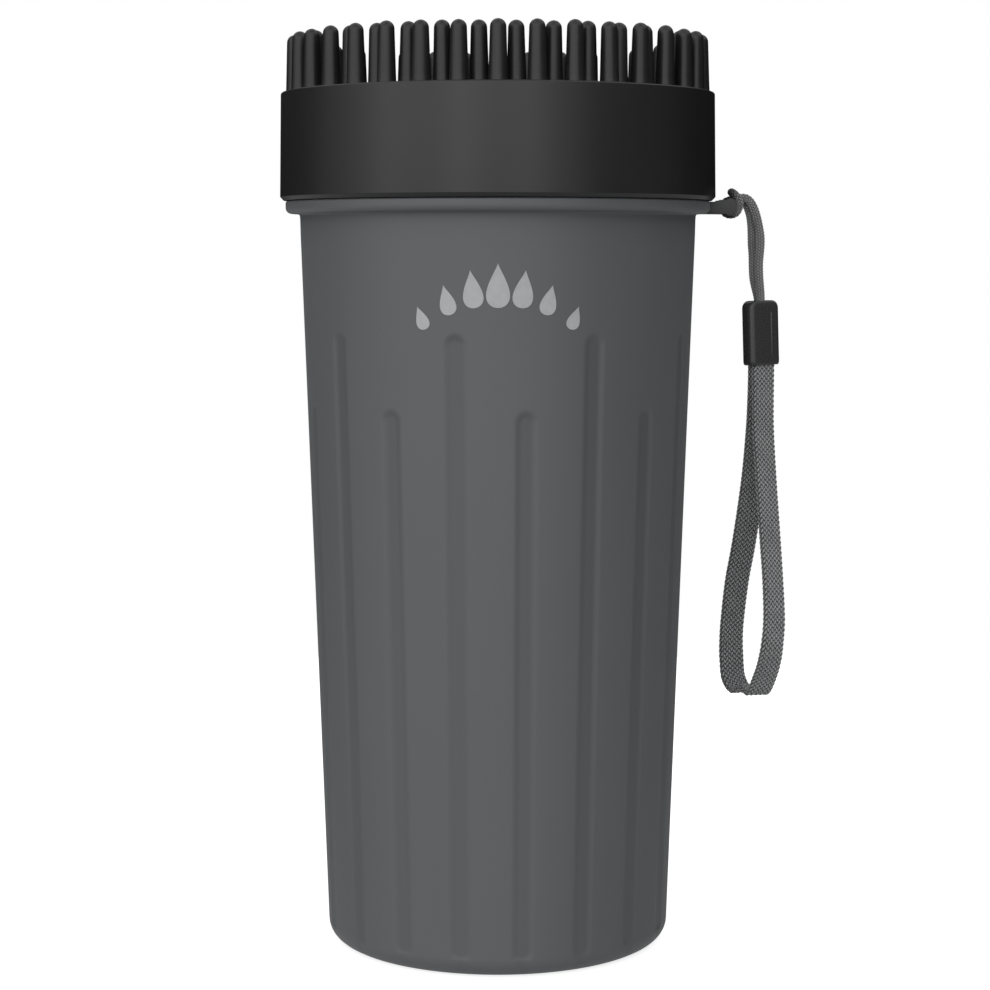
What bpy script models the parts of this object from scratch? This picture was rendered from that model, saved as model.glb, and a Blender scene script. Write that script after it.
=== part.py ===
"""Paw washer cup: a fluted cup with a screwed-on collar, a pinned massage ring,
a bristled inner sleeve, a seal, and a wrist strap hitched to a lug on the flange.

Units are metres, +Z is up. The origin is the centre of the cup's underside.
The lug and its strap are on +X, and the front of the cup is -Y.
"""
import math

import bmesh
import bpy
from mathutils import Matrix, Vector

MM = 0.001
GAP = 0.3 * MM                 # clearance kept between touching pieces

# --- cup -----------------------------------------------------------------
BASE_RADIUS = 39.8 * MM        # outer radius of the wall, carried down to z = 0
TAPER = 0.0345                 # growth of the wall's radius per unit of height
WALL = 2.0 * MM
FLOOR = 2.4 * MM
BASE_FILLET = 4.3 * MM
INNER_FILLET = 3.5 * MM
FLANGE_BOTTOM = 169.2 * MM
FLANGE_TOP = 172.0 * MM
FLANGE_RADIUS = 48.9 * MM
FLANGE_EDGE = 0.6 * MM
NECK_RADIUS = 45.6 * MM
NECK_TOP = 187.6 * MM
RIM_EDGE = 0.4 * MM

FLUTES = 18                    # alternately long and short
FLUTE_PHASE = -12.0            # degrees from the front to a long flute, towards +X
FLUTE_DEPTH = 0.5 * MM
FLUTE_HALF_WIDTH = 2.7 * MM
FLUTE_HALF_FLOOR = 0.8 * MM
LONG_FLUTE_TOP = 143.4 * MM
SHORT_FLUTE_TOP = 126.8 * MM
FLUTE_BOTTOM = 4.5 * MM
FLUTE_RUNOUT = 2.2 * MM        # length over which a flute's end fades to the wall

# --- lanyard lug -----------------------------------------------------------
BAR_X = 53.7 * MM              # crossbar that the cord is hitched to, along Y
BAR_Z = 170.85 * MM
BAR_RADIUS = 0.8 * MM
LUG_HALF_WIDTH = 5.2 * MM
LUG_BOTTOM = 169.35 * MM
LUG_TOP = 171.95 * MM          # under the collar
LUG_PLATE_TOP = 172.5 * MM     # outside the collar
EAR_X = 53.3 * MM              # middle of the ears' rounded ends
EAR_Z = 170.9 * MM
EAR_RADII = (1.5 * MM, 1.9 * MM)   # along X and Z
SLOT_START = 50.9 * MM
SLOT_HALF_WIDTH = 3.7 * MM

# --- screw thread: one start, right-handed ----------------------------------
LEAD = 5.0 * MM
THREAD_TURNS = 1.5
THREAD_HEIGHT = 1.3 * MM
THREAD_HALF_ROOT = 0.8 * MM
THREAD_HALF_CREST = 0.35 * MM
THREAD_ROOT_BITE = 0.6 * MM    # how far a ridge starts inside its wall
CUP_THREAD_START = 178.0 * MM
COLLAR_THREAD_START = CUP_THREAD_START - LEAD / 2

# --- collar ------------------------------------------------------------------
COLLAR_BOTTOM = 172.3 * MM
COLLAR_TOP = 196.7 * MM
COLLAR_BOTTOM_RADIUS = 50.1 * MM
COLLAR_TOP_RADIUS = 49.75 * MM
COLLAR_CHAMFER = 0.8 * MM
COLLAR_TOP_FILLET = 0.85 * MM
SKIRT_RADIUS = 47.4 * MM       # inside of the skirt
LEDGE_BOTTOM = 189.6 * MM
LEDGE_TOP = 191.6 * MM
LEDGE_RADIUS = 40.6 * MM
RECESS_RADIUS = 48.9 * MM

# --- seal ring -----------------------------------------------------------------
SEAL_INNER = 43.4 * MM
SEAL_OUTER = 46.4 * MM

# --- massage ring ---------------------------------------------------------------
RING_OUTER = 48.6 * MM
RING_TOP = 195.7 * MM
RING_BORE = 39.6 * MM
RABBET_RADIUS = 41.7 * MM
RABBET_Z = 193.9 * MM
PIN_COUNT = 35                 # in each of the two circles
PIN_CIRCLES = ((46.5 * MM, 0.0), (44.1 * MM, 0.5))   # radius, offset in pin steps
PIN_TOP = 209.8 * MM
PIN_BASE_RADIUS = 2.0 * MM
PIN_TIP_RADIUS = 1.7 * MM
PIN_SIDES = 6
PIN_BITE = 0.8 * MM

# --- paw sleeve --------------------------------------------------------------------
SLEEVE_OUTER = 39.3 * MM
SLEEVE_INNER = 38.1 * MM
SLEEVE_BOTTOM = 100.0 * MM
SLEEVE_FLANGE_RADIUS = 41.4 * MM
SLEEVE_TOP = 195.6 * MM

# --- bristle lining ------------------------------------------------------------------------
LINING_OUTER = SLEEVE_INNER - GAP
LINING_INNER = 36.9 * MM
LINING_BOTTOM = 100.4 * MM
LINING_TOP = 182.0 * MM
BRISTLE_COLUMNS = 12
BRISTLE_ROWS = 6
BRISTLE_FIRST_Z = 109.0 * MM
BRISTLE_ROW_STEP = 14.0 * MM
BRISTLE_TIP_AT = 25.0 * MM     # distance of the tips from the axis
BRISTLE_BASE_RADIUS = 1.6 * MM
BRISTLE_TIP_RADIUS = 0.9 * MM
BRISTLE_SIDES = 5

# --- ferrule -------------------------------------------------------------------------
FERRULE_WIDTH = 8.1 * MM
FERRULE_DEPTH = 6.2 * MM
FERRULE_LENGTH = 14.9 * MM
FERRULE_CENTRE = (61.03 * MM, 0.0, 141.9 * MM)
FERRULE_TILT = 1.9             # degrees, its lower end leans outwards
FERRULE_EDGE = 1.4 * MM
POCKET_DEPTH = 4.6 * MM
CORD_POCKET = (2.5 * MM, 4.3 * MM)
BAND_POCKET = (6.7 * MM, 4.3 * MM)

# --- cord and band ---------------------------------------------------------------------
CORD_RADIUS = 0.8 * MM
CORD_STEP = 1.6 * MM
BAND_WIDTH = 5.9 * MM
BAND_THICKNESS = 1.5 * MM
BAND_STEP = 3.4 * MM

# The thin cord's front leg, from inside the ferrule up to the crossbar.
FRONT_LEG = (
    (60.85, -0.95, 146.0), (60.82, -0.95, 149.8), (60.66, -0.95, 152.3),
    (60.42, -0.95, 155.1), (60.34, -0.95, 158.1), (60.62, -0.95, 161.6),
    (60.62, -0.95, 164.2), (60.20, -0.95, 166.6), (59.68, -0.95, 168.8),
    (58.98, -0.95, 170.8), (58.15, -0.95, 172.2), (57.15, -0.95, 172.95),
    (56.00, -0.95, 173.05), (54.90, -0.95, 172.88),
)
# Half of the hitch: over the crossbar, round it, then out to the side and back over
# both legs. The other half is its mirror in Y.
HITCH_HALF = (
    (53.70, -0.95, 172.55), (52.50, -0.93, 172.05), (52.00, -0.92, 170.85),
    (52.50, -0.92, 169.65), (53.70, -0.95, 169.15), (54.95, -1.15, 169.55),
    (55.60, -1.65, 170.75), (55.65, -2.35, 171.95), (55.10, -2.60, 173.15),
    (54.35, -1.90, 174.05), (54.00, -0.95, 174.32), (53.95, 0.00, 174.36),
)
# The rear leg, from the ferrule up. It hangs closer to the cup than the front one.
REAR_LEG = (
    (60.65, 0.95, 146.0), (60.48, 0.95, 149.6), (59.88, 0.95, 152.2),
    (59.40, 0.95, 154.4), (59.22, 0.95, 156.8), (59.12, 0.95, 160.0),
    (58.92, 0.95, 162.5), (58.86, 0.95, 164.7), (58.74, 0.95, 167.0),
    (58.42, 0.95, 169.1), (57.82, 0.95, 170.9), (57.00, 0.95, 172.2),
    (56.00, 0.95, 172.75), (54.90, 0.95, 172.80),
)

# The flat band: out of the ferrule in front, down, round the bottom of the loop and
# back up behind. The last value is the turn of its width about Z, in degrees.
BAND_ROUTE = (
    (61.15, -0.95, 138.4, 2), (61.28, -0.95, 134.3, 6), (61.42, -1.05, 127.0, 16),
    (61.60, -1.65, 119.4, 24), (62.30, -3.40, 107.9, 31), (63.10, -6.00, 94.2, 31),
    (63.60, -7.90, 85.1, 32), (63.85, -9.00, 76.5, 32), (63.75, -9.20, 71.0, 32),
    (63.35, -8.40, 66.2, 31), (62.50, -6.45, 62.0, 29), (61.25, -3.60, 58.9, 27),
    (59.65, 0.00, 57.35, 24), (57.95, 3.60, 57.75, 20), (56.60, 6.60, 60.0, 16),
    (55.85, 8.50, 63.8, 13), (55.75, 9.35, 68.3, 11), (56.00, 9.35, 73.2, 10),
    (57.05, 8.40, 82.9, 8), (58.50, 6.50, 92.7, 8), (60.10, 3.75, 107.2, 8),
    (60.95, 1.90, 119.2, 8), (61.25, 1.05, 127.0, 6), (61.28, 0.95, 134.3, 4),
    (61.15, 0.95, 138.4, 2),
)


# --- helpers ------------------------------------------------------------------------------
def clear_scene():
    for thing in list(bpy.data.objects):
        bpy.data.objects.remove(thing, do_unlink=True)


def make_material(name, colour, roughness, metallic=0.0):
    material = bpy.data.materials.new(name)
    material.use_nodes = True
    shader = material.node_tree.nodes["Principled BSDF"]
    shader.inputs["Base Color"].default_value = (*colour, 1.0)
    shader.inputs["Roughness"].default_value = roughness
    shader.inputs["Metallic"].default_value = metallic
    material.diffuse_color = (*colour, 1.0)
    return material


def make_empty(name, location):
    empty = bpy.data.objects.new(name, None)
    empty.location = location
    empty.empty_display_size = 10 * MM
    bpy.context.collection.objects.link(empty)
    return empty


def add_mesh(name, mesh_builder, material, smooth_angle=35.0):
    """Make an object from a filled-in bmesh, with its faces pointing out."""
    bmesh.ops.recalc_face_normals(mesh_builder, faces=mesh_builder.faces)
    mesh = bpy.data.meshes.new(name)
    mesh_builder.to_mesh(mesh)
    mesh_builder.free()
    mesh.shade_smooth()
    mesh.set_sharp_from_angle(angle=math.radians(smooth_angle))
    thing = bpy.data.objects.new(name, mesh)
    bpy.context.collection.objects.link(thing)
    if material:
        mesh.materials.append(material)
    return thing


def even_angles(count, phase=0.0):
    return [phase + 2 * math.pi * step / count for step in range(count)]


def turned(name, profile, angles, material, radius_at=None):
    """Turn a profile of (radius, z) points about Z.

    A profile that starts and ends on the axis makes a solid of revolution; any
    other profile is closed on itself and makes a ring. radius_at may change a
    point's radius with the angle.
    """
    shape = bmesh.new()
    rows = []
    for radius, z in profile:
        if radius == 0:
            rows.append([shape.verts.new((0, 0, z))])
            continue
        row = []
        for angle in angles:
            reach = radius_at(radius, z, angle) if radius_at else radius
            row.append(shape.verts.new((reach * math.sin(angle), -reach * math.cos(angle), z)))
        rows.append(row)
    pairs = list(zip(rows, rows[1:]))
    if len(rows[0]) > 1:
        pairs.append((rows[-1], rows[0]))
    count = len(angles)
    for lower, upper in pairs:
        for step in range(count):
            after = (step + 1) % count
            if len(lower) == 1:
                shape.faces.new((lower[0], upper[step], upper[after]))
            elif len(upper) == 1:
                shape.faces.new((lower[step], lower[after], upper[0]))
            else:
                shape.faces.new((lower[step], lower[after], upper[after], upper[step]))
    return add_mesh(name, shape, material)


def arc(centre_r, centre_z, radius, start, end, steps):
    """Points of an arc in the (radius, z) plane, angles in degrees from +radius."""
    points = []
    for step in range(steps + 1):
        angle = math.radians(start + (end - start) * step / steps)
        points.append((centre_r + radius * math.cos(angle), centre_z + radius * math.sin(angle)))
    return points


def cone_between(shape, start, end, radii, sides, dome=0.0):
    """Add a closed tapered peg to a bmesh, its far end rounded by a dome."""
    start, end = Vector(start), Vector(end)
    axis = (end - start).normalized()
    across = axis.orthogonal().normalized()
    other = axis.cross(across)
    stations = [(start, radii[0])]
    if dome:
        stations.append((end - axis * dome, radii[1]))
        stations.append((end, radii[1] * 0.5))
    else:
        stations.append((end, radii[1]))
    rings = []
    for centre, radius in stations:
        ring = []
        for angle in even_angles(sides):
            offset = across * math.cos(angle) + other * math.sin(angle)
            ring.append(shape.verts.new(centre + offset * radius))
        rings.append(ring)
    shape.faces.new(list(reversed(rings[0])))
    shape.faces.new(rings[-1])
    for lower, upper in zip(rings, rings[1:]):
        for step in range(sides):
            after = (step + 1) % sides
            shape.faces.new((lower[step], lower[after], upper[after], upper[step]))


def box(shape, low, high):
    """Add a closed box to a bmesh."""
    size = [b - a for a, b in zip(low, high)]
    middle = [(a + b) / 2 for a, b in zip(low, high)]
    matrix = Matrix.Translation(middle) @ Matrix.Diagonal((*size, 1.0))
    bmesh.ops.create_cube(shape, size=1.0, matrix=matrix)


def boolean(thing, tool, operation):
    """Join or cut with a helper object, which stays in the file as a hidden guide."""
    modifier = thing.modifiers.new(tool.name, "BOOLEAN")
    modifier.operation = operation
    modifier.solver = "EXACT"
    modifier.object = tool
    tool.hide_render = True
    tool.display_type = "WIRE"


def smooth_route(points, spacing):
    """Even points along a smooth curve through the given ones (any dimension)."""
    points = [Vector(point) for point in points]
    padded = [points[0] * 2 - points[1], *points, points[-1] * 2 - points[-2]]
    fine = []
    pieces = 24
    for before, here, there, after in zip(padded, padded[1:], padded[2:], padded[3:]):
        for piece in range(pieces):
            t = piece / pieces
            fine.append(0.5 * (2 * here + (there - before) * t
                               + (2 * before - 5 * here + 4 * there - after) * t ** 2
                               + (3 * here - before - 3 * there + after) * t ** 3))
    fine.append(points[-1])
    travelled = [0.0]
    for here, there in zip(fine, fine[1:]):
        travelled.append(travelled[-1] + (there.xyz - here.xyz).length)
    count = round(travelled[-1] / spacing)
    route, place = [], 0
    for step in range(count + 1):
        wanted = travelled[-1] * step / count
        while place < len(fine) - 2 and travelled[place + 1] < wanted:
            place += 1
        share = (wanted - travelled[place]) / (travelled[place + 1] - travelled[place])
        route.append(fine[place].lerp(fine[place + 1], share))
    return route


def helical_ridge(name, wall_radius, outward, start_z, material):
    """A thread ridge whose root lies inside its wall and whose ends run out."""
    per_turn = 24
    steps = round(THREAD_TURNS * per_turn)
    runout = 3
    shape = bmesh.new()
    rings = []
    for step in range(steps + 1):
        angle = 2 * math.pi * step / per_turn
        z = start_z + LEAD * step / per_turn
        share = min(1.0, min(step, steps - step) / runout)
        crest = wall_radius + outward * THREAD_HEIGHT * (0.25 + 0.75 * share)
        root = wall_radius - outward * THREAD_ROOT_BITE
        section = (
            (root, z - THREAD_HALF_ROOT), (crest, z - THREAD_HALF_CREST),
            (crest, z + THREAD_HALF_CREST), (root, z + THREAD_HALF_ROOT),
        )
        ring = [shape.verts.new((r * math.sin(angle), -r * math.cos(angle), h)) for r, h in section]
        rings.append(ring)
    for lower, upper in zip(rings, rings[1:]):
        for side in range(4):
            after = (side + 1) % 4
            shape.faces.new((lower[side], lower[after], upper[after], upper[side]))
    shape.faces.new(list(reversed(rings[0])))
    shape.faces.new(rings[-1])
    return add_mesh(name, shape, material)


# --- cup ------------------------------------------------------------------------------------
def wall_radius(z):
    return BASE_RADIUS + TAPER * z


def flute_angles():
    """Angles round the cup, with extra ones where each flute's edges and floor are."""
    step = 2 * math.pi / FLUTES
    radius = wall_radius(LONG_FLUTE_TOP / 2)
    offsets = (-FLUTE_HALF_WIDTH, -FLUTE_HALF_FLOOR, FLUTE_HALF_FLOOR, FLUTE_HALF_WIDTH)
    angles = []
    for flute in range(FLUTES):
        centre = math.radians(FLUTE_PHASE) + flute * step
        angles.extend(centre + offset / radius for offset in offsets)
        angles.append(centre + step / 2)
    return angles


def flute_depth(z, angle):
    """How far the wall is set in at this height and angle."""
    step = 2 * math.pi / FLUTES
    turn = (angle - math.radians(FLUTE_PHASE)) / step
    flute = round(turn)
    distance = abs(turn - flute) * step * wall_radius(LONG_FLUTE_TOP / 2)
    top = LONG_FLUTE_TOP if flute % 2 == 0 else SHORT_FLUTE_TOP
    if not FLUTE_BOTTOM < z < top:
        return 0.0
    across = min(1.0, max(0.0, (FLUTE_HALF_WIDTH - distance) / (FLUTE_HALF_WIDTH - FLUTE_HALF_FLOOR)))
    along = min(1.0, (z - FLUTE_BOTTOM) / FLUTE_RUNOUT, (top - z) / FLUTE_RUNOUT)
    return FLUTE_DEPTH * across * along


def cup_profile():
    bottom_arc = arc(wall_radius(BASE_FILLET) - BASE_FILLET, BASE_FILLET, BASE_FILLET, -90, 0, 3)
    heights = [FLUTE_BOTTOM]
    heights += [FLUTE_BOTTOM + FLUTE_RUNOUT]
    for top in (SHORT_FLUTE_TOP, LONG_FLUTE_TOP):
        heights += [top - FLUTE_RUNOUT, top]
    heights += [FLANGE_BOTTOM]
    profile = [(0, 0), *bottom_arc]
    profile += [(wall_radius(z), z) for z in heights]
    edge = FLANGE_EDGE
    profile += [
        (FLANGE_RADIUS - edge, FLANGE_BOTTOM), (FLANGE_RADIUS, FLANGE_BOTTOM + edge),
        (FLANGE_RADIUS, FLANGE_TOP - edge), (FLANGE_RADIUS - edge, FLANGE_TOP),
        (NECK_RADIUS, FLANGE_TOP), (NECK_RADIUS, NECK_TOP - RIM_EDGE),
        (NECK_RADIUS - RIM_EDGE, NECK_TOP),
    ]
    inner_top = wall_radius(FLANGE_BOTTOM) - WALL
    corner = INNER_FILLET
    inner_bottom = wall_radius(FLOOR + corner) - WALL
    profile += [
        (inner_top + RIM_EDGE, NECK_TOP), (inner_top, NECK_TOP - RIM_EDGE),
        (inner_top, FLANGE_BOTTOM), (inner_bottom, FLOOR + corner),
        (inner_bottom - corner * 0.3, FLOOR + corner * 0.3),
        (inner_bottom - corner, FLOOR), (0, FLOOR),
    ]
    return profile


def make_lug():
    """The lug's plate with two ears, a slot between them and a round crossbar."""
    outline = [(FLANGE_RADIUS - 2 * MM, LUG_BOTTOM)]
    for turn in (-125, -90, -60, -30, 0, 30, 60, 90, 125):
        angle = math.radians(turn)
        outline.append((EAR_X + EAR_RADII[0] * math.cos(angle), EAR_Z + EAR_RADII[1] * math.sin(angle)))
    outline += [
        (COLLAR_BOTTOM_RADIUS + 2 * GAP, LUG_PLATE_TOP), (COLLAR_BOTTOM_RADIUS + GAP, LUG_TOP),
        (FLANGE_RADIUS - 2 * MM, LUG_TOP),
    ]
    shape = bmesh.new()
    near = [shape.verts.new((x, -LUG_HALF_WIDTH, z)) for x, z in outline]
    far = [shape.verts.new((x, LUG_HALF_WIDTH, z)) for x, z in outline]
    shape.faces.new(near)
    shape.faces.new(list(reversed(far)))
    for step in range(len(outline)):
        after = (step + 1) % len(outline)
        shape.faces.new((near[step], far[step], far[after], near[after]))
    lug = add_mesh("lug_guide", shape, None)

    shape = bmesh.new()
    reach = EAR_X + 2 * EAR_RADII[0]
    box(shape, (SLOT_START, -SLOT_HALF_WIDTH, LUG_BOTTOM - 2 * MM),
        (reach, SLOT_HALF_WIDTH, LUG_PLATE_TOP + 2 * MM))
    slot = add_mesh("slot_guide", shape, None)

    shape = bmesh.new()
    bar_end = SLOT_HALF_WIDTH + 0.75 * MM
    cone_between(shape, (BAR_X, -bar_end, BAR_Z), (BAR_X, bar_end, BAR_Z),
                 (BAR_RADIUS, BAR_RADIUS), 12)
    bar = add_mesh("crossbar_guide", shape, None)
    boolean(lug, slot, "DIFFERENCE")
    boolean(lug, bar, "UNION")
    lug.hide_render = True
    lug.display_type = "WIRE"
    return lug


def make_cup(material):
    def fluted(radius, z, angle):
        outside = abs(radius - wall_radius(z)) < 0.01 * MM
        return radius - flute_depth(z, angle) if outside else radius

    cup = turned("cup_body", cup_profile(), flute_angles(), material, fluted)
    boolean(cup, make_lug(), "UNION")
    ridge = helical_ridge("cup_thread_guide", NECK_RADIUS, 1, CUP_THREAD_START, None)
    boolean(cup, ridge, "UNION")
    return cup


# --- collar, seal, massage ring, sleeve --------------------------------------------------------
def make_collar(material):
    chamfer, fillet = COLLAR_CHAMFER, COLLAR_TOP_FILLET
    profile = [
        (COLLAR_BOTTOM_RADIUS - chamfer, COLLAR_BOTTOM),
        (COLLAR_BOTTOM_RADIUS, COLLAR_BOTTOM + chamfer),
    ]
    profile += arc(COLLAR_TOP_RADIUS - fillet, COLLAR_TOP - fillet, fillet, 0, 90, 3)[:-1]
    profile += [
        (RECESS_RADIUS + 0.05 * MM, COLLAR_TOP), (RECESS_RADIUS, COLLAR_TOP - 0.3 * MM),
        (RECESS_RADIUS, LEDGE_TOP), (LEDGE_RADIUS, LEDGE_TOP), (LEDGE_RADIUS, LEDGE_BOTTOM),
        (SKIRT_RADIUS, LEDGE_BOTTOM), (SKIRT_RADIUS, COLLAR_BOTTOM + 0.4 * MM),
        (SKIRT_RADIUS + 0.4 * MM, COLLAR_BOTTOM),
    ]
    collar = turned("collar", profile, even_angles(72), material)
    ridge = helical_ridge("collar_thread_guide", SKIRT_RADIUS, -1, COLLAR_THREAD_START, None)
    boolean(collar, ridge, "UNION")
    return collar


def make_seal(material):
    low, high = NECK_TOP + GAP, LEDGE_BOTTOM - GAP
    profile = [(SEAL_INNER, low), (SEAL_OUTER, low), (SEAL_OUTER, high), (SEAL_INNER, high)]
    return turned("seal_ring", profile, even_angles(48), material)


def make_massage_ring(material):
    low = LEDGE_TOP + GAP
    profile = [
        (RING_BORE, low), (RING_OUTER, low), (RING_OUTER, RING_TOP),
        (RABBET_RADIUS, RING_TOP), (RABBET_RADIUS, RABBET_Z), (RING_BORE, RABBET_Z),
    ]
    ring = turned("massage_ring", profile, even_angles(70), material)
    shape = bmesh.new()
    for radius, offset in PIN_CIRCLES:
        for pin in range(PIN_COUNT):
            angle = 2 * math.pi * (pin + offset) / PIN_COUNT
            x, y = radius * math.sin(angle), -radius * math.cos(angle)
            cone_between(shape, (x, y, RING_TOP - PIN_BITE), (x, y, PIN_TOP),
                         (PIN_BASE_RADIUS, PIN_TIP_RADIUS), PIN_SIDES, dome=PIN_TIP_RADIUS)
    pins = add_mesh("pins_guide", shape, None)
    boolean(ring, pins, "UNION")
    return ring


def make_sleeve(material):
    flange_z = RABBET_Z + GAP
    profile = [
        (SLEEVE_INNER, SLEEVE_BOTTOM), (SLEEVE_OUTER, SLEEVE_BOTTOM),
        (SLEEVE_OUTER, flange_z), (SLEEVE_FLANGE_RADIUS, flange_z),
        (SLEEVE_FLANGE_RADIUS, SLEEVE_TOP), (SLEEVE_INNER, SLEEVE_TOP),
    ]
    return turned("paw_sleeve", profile, even_angles(48), material)


def make_lining(material):
    """A thin skin inside the sleeve, with its bristles pointing inwards."""
    profile = [
        (LINING_INNER, LINING_BOTTOM), (LINING_OUTER, LINING_BOTTOM),
        (LINING_OUTER, LINING_TOP), (LINING_INNER, LINING_TOP),
    ]
    lining = turned("bristle_lining", profile, even_angles(48), material)
    shape = bmesh.new()
    root = (LINING_INNER + LINING_OUTER) / 2
    for row in range(BRISTLE_ROWS):
        z = BRISTLE_FIRST_Z + row * BRISTLE_ROW_STEP
        for column in range(BRISTLE_COLUMNS):
            angle = 2 * math.pi * (column + 0.5 * (row % 2)) / BRISTLE_COLUMNS
            outwards = Vector((math.sin(angle), -math.cos(angle), 0))
            lift = Vector((0, 0, z))
            cone_between(shape, outwards * root + lift, outwards * BRISTLE_TIP_AT + lift,
                         (BRISTLE_BASE_RADIUS, BRISTLE_TIP_RADIUS), BRISTLE_SIDES)
    bristles = add_mesh("bristles_guide", shape, None)
    boolean(lining, bristles, "UNION")
    return lining


# --- strap -----------------------------------------------------------------------------------------
def make_ferrule(material):
    half = (FERRULE_WIDTH / 2, FERRULE_DEPTH / 2, FERRULE_LENGTH / 2)
    shape = bmesh.new()
    box(shape, [-size for size in half], half)
    bmesh.ops.bevel(shape, geom=shape.edges[:], offset=FERRULE_EDGE, segments=3,
                    profile=0.5, affect="EDGES")
    ferrule = add_mesh("ferrule", shape, material)
    for name, pocket, side in (("cord_pocket_guide", CORD_POCKET, 1),
                               ("band_pocket_guide", BAND_POCKET, -1)):
        inner_z = side * (half[2] - POCKET_DEPTH)
        outer_z = side * (half[2] + 1 * MM)
        shape = bmesh.new()
        box(shape, (-pocket[0] / 2, -pocket[1] / 2, min(inner_z, outer_z)),
            (pocket[0] / 2, pocket[1] / 2, max(inner_z, outer_z)))
        cutter = add_mesh(name, shape, None)
        cutter.parent = ferrule
        boolean(ferrule, cutter, "DIFFERENCE")
    ferrule.location = FERRULE_CENTRE
    ferrule.rotation_euler = (0, -math.radians(FERRULE_TILT), 0)
    return ferrule


def make_lanyard_cord(material):
    mirrored = [(x, -y, z) for x, y, z in reversed(HITCH_HALF[:-1])]
    points = [*FRONT_LEG, *HITCH_HALF, *mirrored, *reversed(REAR_LEG)]
    route = smooth_route([Vector(point) * MM for point in points], CORD_STEP)
    curve = bpy.data.curves.new("lanyard_cord", "CURVE")
    curve.dimensions = "3D"
    curve.bevel_depth = CORD_RADIUS
    curve.bevel_resolution = 2
    curve.use_fill_caps = True
    spline = curve.splines.new("POLY")
    spline.points.add(len(route) - 1)
    for point, place in zip(spline.points, route):
        point.co = (*place, 1.0)
    curve.materials.append(material)
    cord = bpy.data.objects.new("lanyard_cord", curve)
    bpy.context.collection.objects.link(cord)
    return cord


def make_wrist_loop(material):
    """Sweep a flat section with rounded edges along the band's route."""
    points = [(x * MM, y * MM, z * MM, math.radians(turn)) for x, y, z, turn in BAND_ROUTE]
    route = smooth_route(points, BAND_STEP)
    flat = BAND_WIDTH / 2 - BAND_THICKNESS / 2
    thin = BAND_THICKNESS / 2
    section = ((-flat, -thin), (flat, -thin), (flat + thin * 0.8, 0), (flat, thin),
               (-flat, thin), (-flat - thin * 0.8, 0))
    shape = bmesh.new()
    rings = []
    for step, place in enumerate(route):
        ahead = route[min(step + 1, len(route) - 1)].xyz
        behind = route[max(step - 1, 0)].xyz
        tangent = (ahead - behind).normalized()
        across = Vector((math.cos(place.w), math.sin(place.w), 0))
        across = (across - tangent * across.dot(tangent)).normalized()
        face = tangent.cross(across)
        rings.append([shape.verts.new(place.xyz + across * u + face * v) for u, v in section])
    for lower, upper in zip(rings, rings[1:]):
        for side in range(len(section)):
            after = (side + 1) % len(section)
            shape.faces.new((lower[side], lower[after], upper[after], upper[side]))
    shape.faces.new(list(reversed(rings[0])))
    shape.faces.new(rings[-1])
    return add_mesh("wrist_loop", shape, material)


def attach(child, parent):
    """Parent a piece to a joint's empty and keep it where it was modelled."""
    child.parent = parent
    child.matrix_parent_inverse = Matrix.Translation(-Vector(parent.location))


def main():
    clear_scene()
    cup_plastic = make_material("cup_plastic", (0.115, 0.118, 0.121), 0.5)
    collar_plastic = make_material("collar_plastic", (0.022, 0.022, 0.023), 0.35)
    pin_silicone = make_material("pin_silicone", (0.035, 0.035, 0.036), 0.6)
    sleeve_silicone = make_material("sleeve_silicone", (0.06, 0.06, 0.062), 0.6)
    seal_silicone = make_material("seal_silicone", (0.03, 0.03, 0.03), 0.6)
    ferrule_plastic = make_material("ferrule_plastic", (0.02, 0.02, 0.021), 0.3)
    cord_yarn = make_material("cord_yarn", (0.13, 0.13, 0.13), 0.9)
    band_yarn = make_material("band_yarn", (0.17, 0.17, 0.17), 0.9)

    collar_axis = make_empty("collar_axis", (0, 0, COLLAR_BOTTOM))
    ring_axis = make_empty("massage_ring_axis", (0, 0, LEDGE_TOP))
    sleeve_axis = make_empty("sleeve_axis", (0, 0, RABBET_Z))
    strap_pivot = make_empty("strap_pivot", (BAR_X, 0, BAR_Z))

    make_cup(cup_plastic)
    attach(make_seal(seal_silicone), collar_axis)
    attach(make_collar(collar_plastic), collar_axis)
    attach(make_massage_ring(pin_silicone), ring_axis)
    attach(make_sleeve(sleeve_silicone), sleeve_axis)
    attach(make_lining(sleeve_silicone), sleeve_axis)
    attach(make_lanyard_cord(cord_yarn), strap_pivot)
    attach(make_ferrule(ferrule_plastic), strap_pivot)
    attach(make_wrist_loop(band_yarn), strap_pivot)


main()
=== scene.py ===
"""Looks of the paw washer cup: finely modelled pieces, materials, light and camera."""
import math
import random

import bmesh
import bpy
from mathutils import Matrix, Vector


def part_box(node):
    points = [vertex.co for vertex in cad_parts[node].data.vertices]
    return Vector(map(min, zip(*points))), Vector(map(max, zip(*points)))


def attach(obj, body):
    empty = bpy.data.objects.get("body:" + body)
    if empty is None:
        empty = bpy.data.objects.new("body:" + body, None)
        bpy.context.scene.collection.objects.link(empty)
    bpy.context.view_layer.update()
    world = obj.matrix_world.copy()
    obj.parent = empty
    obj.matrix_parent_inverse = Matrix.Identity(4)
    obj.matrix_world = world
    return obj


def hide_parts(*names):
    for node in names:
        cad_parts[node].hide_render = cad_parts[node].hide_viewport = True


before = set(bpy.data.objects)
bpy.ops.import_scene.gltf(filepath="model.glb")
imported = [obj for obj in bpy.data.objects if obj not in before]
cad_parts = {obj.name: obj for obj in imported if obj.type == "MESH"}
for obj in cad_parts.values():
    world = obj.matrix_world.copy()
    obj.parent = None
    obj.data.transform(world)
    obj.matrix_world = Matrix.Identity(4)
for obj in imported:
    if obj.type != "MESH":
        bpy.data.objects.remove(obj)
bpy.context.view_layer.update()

MM = 0.001


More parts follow.
